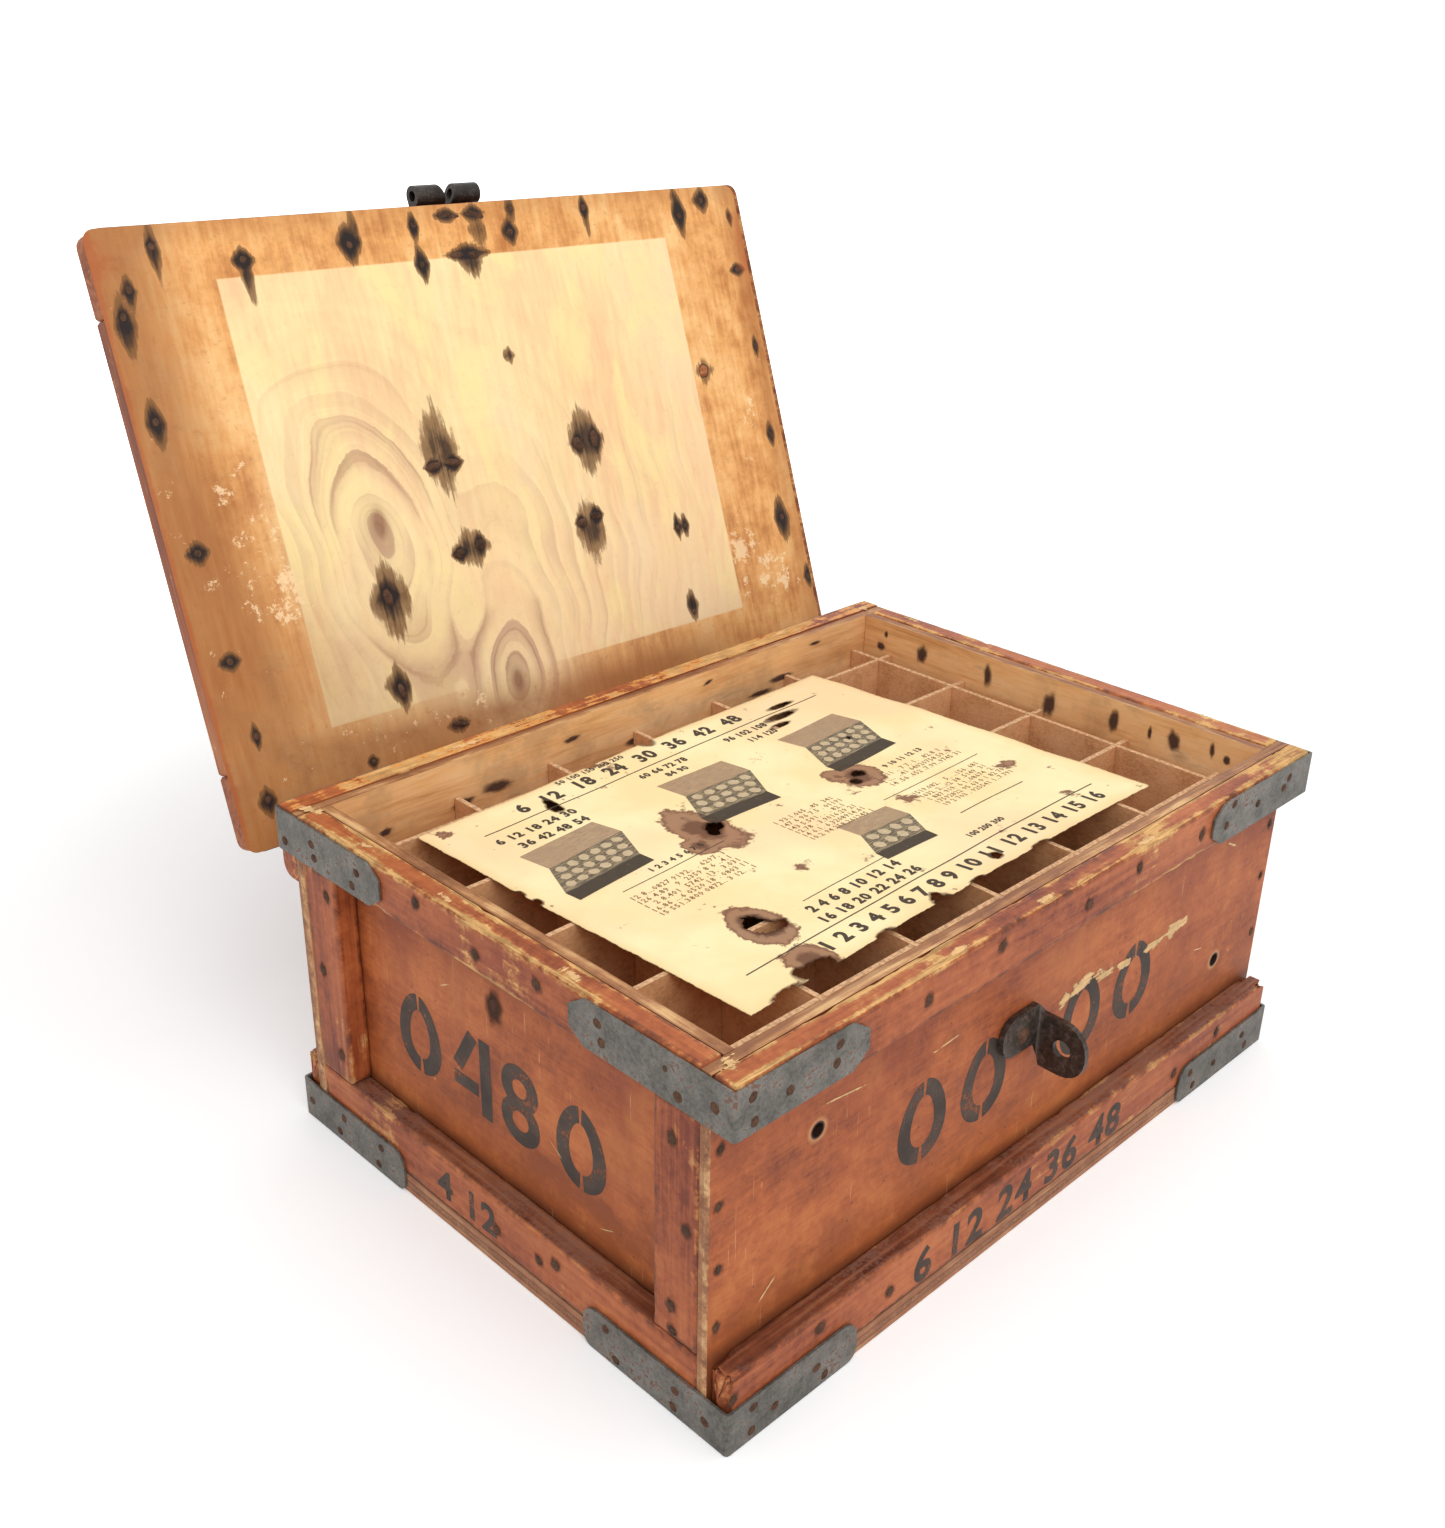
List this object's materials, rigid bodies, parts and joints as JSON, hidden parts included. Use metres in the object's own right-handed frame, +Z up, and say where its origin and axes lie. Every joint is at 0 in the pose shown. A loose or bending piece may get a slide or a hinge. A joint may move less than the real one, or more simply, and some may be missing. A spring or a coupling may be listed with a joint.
{
  "type": "wooden egg crate",
  "caption": "Plywood and batten crate with a hinged lid, iron corners, staple, hasp plate, carrying handle and layers of slotted dividers for eggs, with a loose leaflet on top.",
  "frame": {"origin": "middle of the base board's underside, on the surface that the crate stands on", "axes": "+X to the right along the front, +Y to the back, where the lid's hinges are, +Z up"},
  "size_m": [0.3879, 0.4321, 0.3856],
  "materials": {
    "stained_wood": "satin",
    "stained_ply": "satin",
    "base_ply": "matte",
    "bare_ply": "matte",
    "corner_iron": "matte",
    "dark_iron": "matte",
    "strawboard": "matte",
    "paper": "matte"
  },
  "bodies": {
    "crate": {"base_board": "base_ply", "front_panel": "stained_ply", "back_panel": "stained_ply", "left_panel": "stained_ply", "right_panel": "stained_ply", "front_top_rail": "stained_wood", "back_top_rail": "stained_wood", "left_top_rail": "stained_wood", "right_top_rail": "stained_wood", "front_bottom_rail": "stained_wood", "back_bottom_rail": "stained_wood", "left_bottom_rail": "stained_wood", "right_bottom_rail": "stained_wood", "left_front_post": "stained_wood", "left_back_post": "stained_wood", "right_front_post": "stained_wood", "right_back_post": "stained_wood", "top_iron_front_left": "corner_iron", "top_iron_front_right": "corner_iron", "top_iron_back_left": "corner_iron", "top_iron_back_right": "corner_iron", "low_iron_front_left": "corner_iron", "low_iron_front_right": "corner_iron", "low_iron_back_left": "corner_iron", "low_iron_back_right": "corner_iron", "staple": "dark_iron", "left_hinge_leaf": "dark_iron", "right_hinge_leaf": "dark_iron"},
    "lid": {"lid_panel": "bare_ply", "lid_front_batten": "stained_wood", "lid_rear_batten": "stained_wood", "lid_left_batten": "stained_wood", "lid_right_batten": "stained_wood", "left_hinge_strap": "dark_iron", "right_hinge_strap": "dark_iron", "hasp_plate": "dark_iron", "lid_handle": "dark_iron"},
    "lower_dividers": {"lower_rim_strips": "strawboard", "lower_cross_2": "strawboard", "lower_cross_3": "strawboard", "lower_cross_4": "strawboard", "lower_cross_5": "strawboard", "lower_cross_6": "strawboard", "lower_long_2": "strawboard", "lower_long_3": "strawboard", "lower_long_4": "strawboard"},
    "layer_board": {"layer_board": "strawboard"},
    "upper_dividers": {"upper_cross_1": "strawboard", "upper_cross_2": "strawboard", "upper_cross_3": "strawboard", "upper_cross_4": "strawboard", "upper_cross_5": "strawboard", "upper_cross_6": "strawboard", "upper_cross_7": "strawboard", "upper_long_1": "strawboard", "upper_long_2": "strawboard", "upper_long_3": "strawboard", "upper_long_4": "strawboard", "upper_long_5": "strawboard"},
    "leaflet": {"leaflet": "paper"}
  },
  "joints": [
    {"name": "lid_hinge", "type": "hinge", "parent": "crate", "child": "lid", "pos_m": [0.003, 0.1365, 0.1301], "axis": [-0.9999, 0.0154, 0], "range_deg": [-109.9, 0]},
    {"name": "lower_dividers_lift", "type": "slide", "parent": "crate", "child": "lower_dividers", "axis": [0, 0, 1], "range_m": [0, 0.16]},
    {"name": "layer_board_lift", "type": "slide", "parent": "lower_dividers", "child": "layer_board", "axis": [0, 0, 1], "range_m": [0, 0.095]},
    {"name": "upper_dividers_lift", "type": "slide", "parent": "layer_board", "child": "upper_dividers", "axis": [0, 0, 1], "range_m": [0, 0.09]},
    {"name": "leaflet_lift", "type": "slide", "parent": "upper_dividers", "child": "leaflet", "axis": [0, 0, 1], "range_m": [0, 0.04]}
  ]
}
